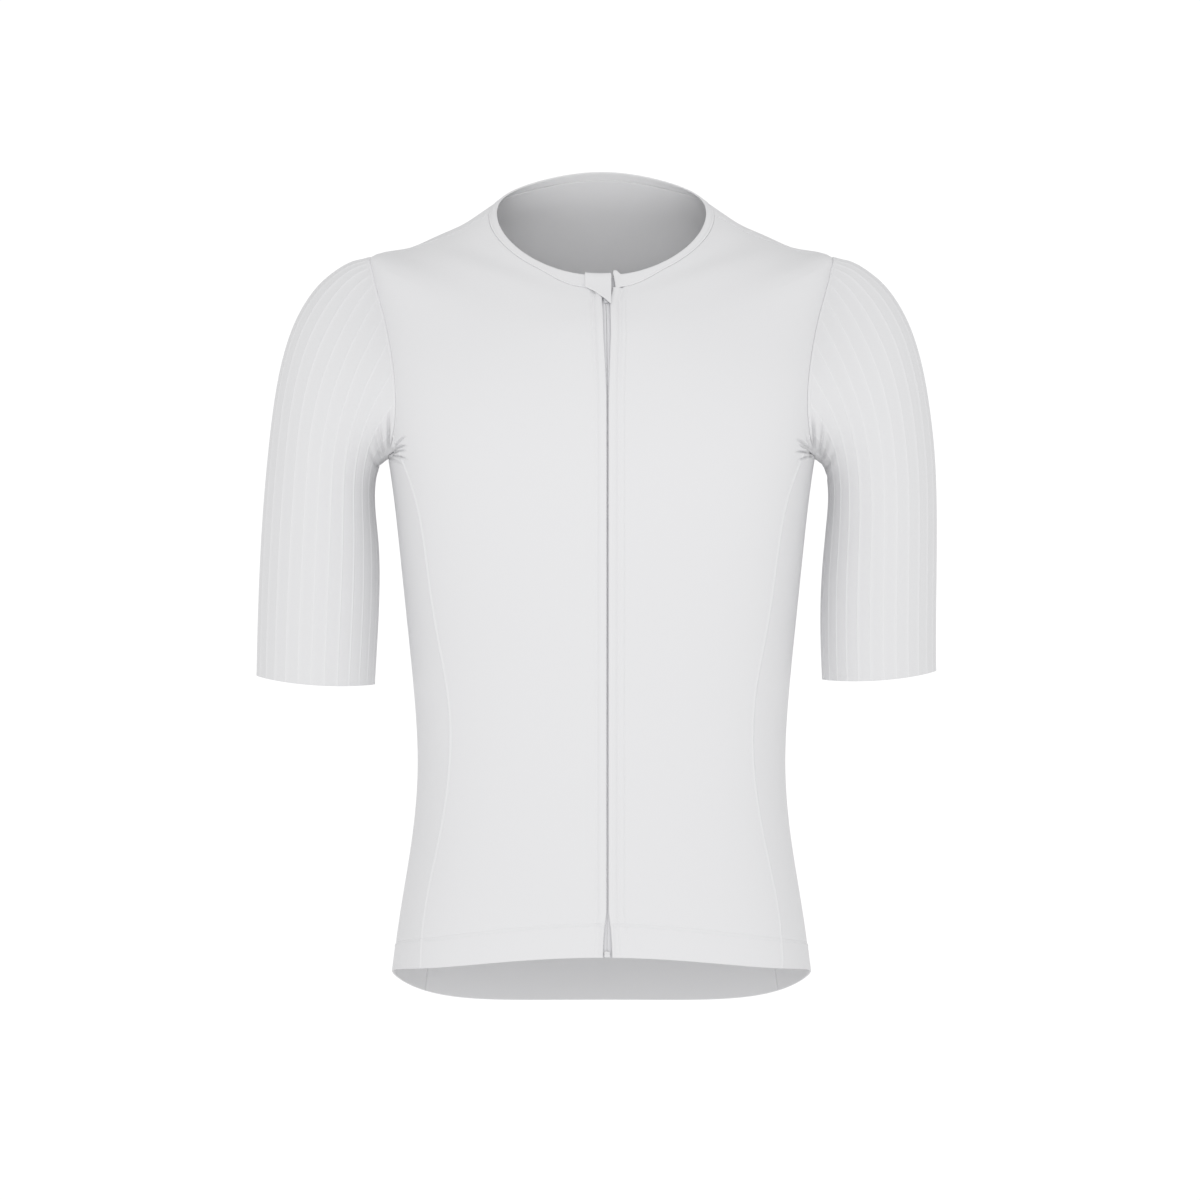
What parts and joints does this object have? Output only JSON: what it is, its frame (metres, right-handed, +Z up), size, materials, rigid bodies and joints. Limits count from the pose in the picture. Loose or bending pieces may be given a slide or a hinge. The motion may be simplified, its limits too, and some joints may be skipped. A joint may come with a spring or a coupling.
{
  "type": "cycling jersey",
  "caption": "Men's race-cut cycling jersey, filled out with no wearer: concealed full zip, side panels, ribbed set-in sleeves, rear pockets.",
  "frame": {"origin": "midway between the shoulders, at the height where the shoulder tips rest on the wearer", "axes": "+Z up, -Y out of the front of the jersey, +X to the wearer's left"},
  "size_m": [0.5644, 0.2339, 0.7059],
  "materials": {
    "smooth_knit": "fine stretch knit, white, with a faint sheen",
    "side_knit": "fine stretch mesh knit, white",
    "ribbed_knit": "fine knit with raised lengthwise ribs, white",
    "binding": "folded stretch binding, white",
    "zip_tape": "woven polyester zip tape, pale grey",
    "zip_metal": "pale grey lacquered zinc",
    "zip_plastic": "pale grey moulded plastic"
  },
  "bodies": {
    "root": {"front_left": "smooth_knit", "front_right": "smooth_knit", "side_panel_left": "side_knit", "side_panel_right": "side_knit", "back": "smooth_knit", "pocket_panel": "smooth_knit", "sleeve_left": "ribbed_knit", "sleeve_right": "ribbed_knit", "neck_binding": "binding", "zip_garage": "binding", "zip_tape_left": "zip_tape", "zip_tape_right": "zip_tape", "zip_slider": "zip_metal", "zip_pull": "zip_metal", "zip_stop": "zip_plastic"}
  },
  "joints": []
}
